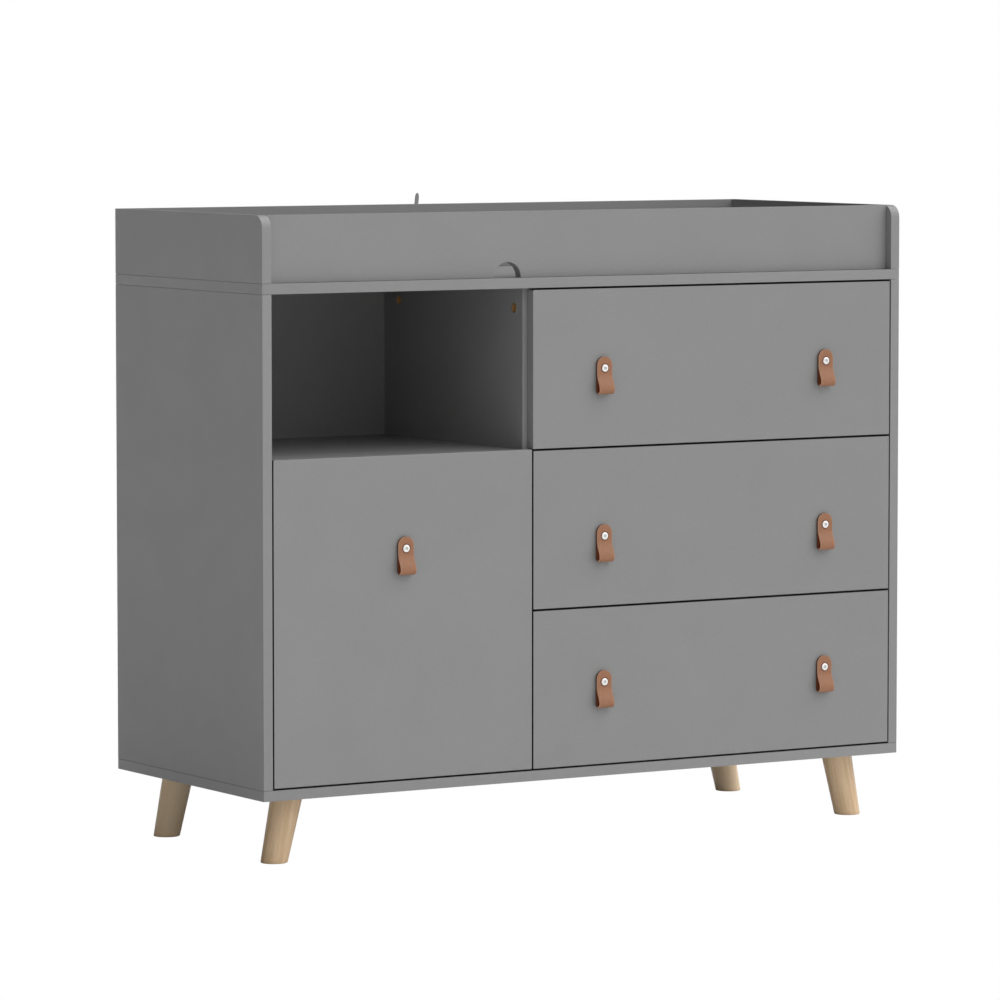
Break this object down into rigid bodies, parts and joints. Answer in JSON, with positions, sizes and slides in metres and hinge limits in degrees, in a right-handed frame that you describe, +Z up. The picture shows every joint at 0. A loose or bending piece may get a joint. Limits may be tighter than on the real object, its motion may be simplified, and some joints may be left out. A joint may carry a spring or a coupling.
{
  "type": "changing table",
  "caption": "Painted changing table dresser on splayed turned legs: boarded tray on top, open cubby over a deep drawer, wide drawers beside it, leather loop pulls.",
  "frame": {"origin": "on the floor, in the middle of the table's outer box", "axes": "+X to the right seen from the front, the front faces -Y, +Z up"},
  "size_m": [1.1, 0.4605, 0.9453],
  "materials": {
    "grey_paint": "satin grey paint on 15 mm board",
    "grey_foil": "light grey foil on 12 mm and 5 mm board",
    "beech": "clear satin lacquer, grain along the leg",
    "tan_leather": "smooth tan leather with pale cut edges",
    "nickel": "polished nickel",
    "zinc_steel": "bright zinc plate",
    "grey_nylon": "smooth moulded nylon",
    "bronzed_zinc": "dark bronzed die-cast zinc"
  },
  "bodies": {
    "cabinet": {"base_panel": "grey_paint", "top_panel": "grey_paint", "side_panel_left": "grey_paint", "side_panel_right": "grey_paint", "back_panel": "grey_paint", "centre_divider": "grey_paint", "cubby_shelf": "grey_paint", "tray_side_left": "grey_paint", "tray_side_right": "grey_paint", "tray_front_board": "grey_paint", "tray_back_board": "grey_paint", "leg_front_left": "beech", "leg_front_right": "beech", "leg_rear_left": "beech", "leg_rear_right": "beech", "anti_tip_strap": "grey_nylon", "cam_lock_front": "bronzed_zinc", "cam_lock_rear": "bronzed_zinc", "top_drawer_runner_left": "zinc_steel", "top_drawer_runner_right": "zinc_steel", "middle_drawer_runner_left": "zinc_steel", "middle_drawer_runner_right": "zinc_steel", "bottom_drawer_runner_left": "zinc_steel", "bottom_drawer_runner_right": "zinc_steel", "deep_drawer_runner_left": "zinc_steel", "deep_drawer_runner_right": "zinc_steel"},
    "top_drawer": {"top_drawer_front": "grey_paint", "top_drawer_side_left": "grey_foil", "top_drawer_side_right": "grey_foil", "top_drawer_floor": "grey_foil", "top_drawer_back": "grey_foil", "top_drawer_pull_left": "tan_leather", "top_drawer_pull_right": "tan_leather", "top_drawer_pull_screw_left": "nickel", "top_drawer_pull_screw_right": "nickel"},
    "middle_drawer": {"middle_drawer_front": "grey_paint", "middle_drawer_side_left": "grey_foil", "middle_drawer_side_right": "grey_foil", "middle_drawer_floor": "grey_foil", "middle_drawer_back": "grey_foil", "middle_drawer_pull_left": "tan_leather", "middle_drawer_pull_right": "tan_leather", "middle_drawer_pull_screw_left": "nickel", "middle_drawer_pull_screw_right": "nickel"},
    "bottom_drawer": {"bottom_drawer_front": "grey_paint", "bottom_drawer_side_left": "grey_foil", "bottom_drawer_side_right": "grey_foil", "bottom_drawer_floor": "grey_foil", "bottom_drawer_back": "grey_foil", "bottom_drawer_pull_left": "tan_leather", "bottom_drawer_pull_right": "tan_leather", "bottom_drawer_pull_screw_left": "nickel", "bottom_drawer_pull_screw_right": "nickel"},
    "deep_drawer": {"deep_drawer_front": "grey_paint", "deep_drawer_side_left": "grey_foil", "deep_drawer_side_right": "grey_foil", "deep_drawer_floor": "grey_foil", "deep_drawer_back": "grey_foil", "deep_drawer_pull": "tan_leather", "deep_drawer_pull_screw": "nickel"}
  },
  "joints": [
    {"name": "top_drawer_slide", "type": "slide", "parent": "cabinet", "child": "top_drawer", "axis": [0, -1, 0], "range_m": [0, 0.26]},
    {"name": "middle_drawer_slide", "type": "slide", "parent": "cabinet", "child": "middle_drawer", "axis": [0, -1, 0], "range_m": [0, 0.26]},
    {"name": "bottom_drawer_slide", "type": "slide", "parent": "cabinet", "child": "bottom_drawer", "axis": [0, -1, 0], "range_m": [0, 0.26]},
    {"name": "deep_drawer_slide", "type": "slide", "parent": "cabinet", "child": "deep_drawer", "axis": [0, -1, 0], "range_m": [0, 0.26]}
  ]
}
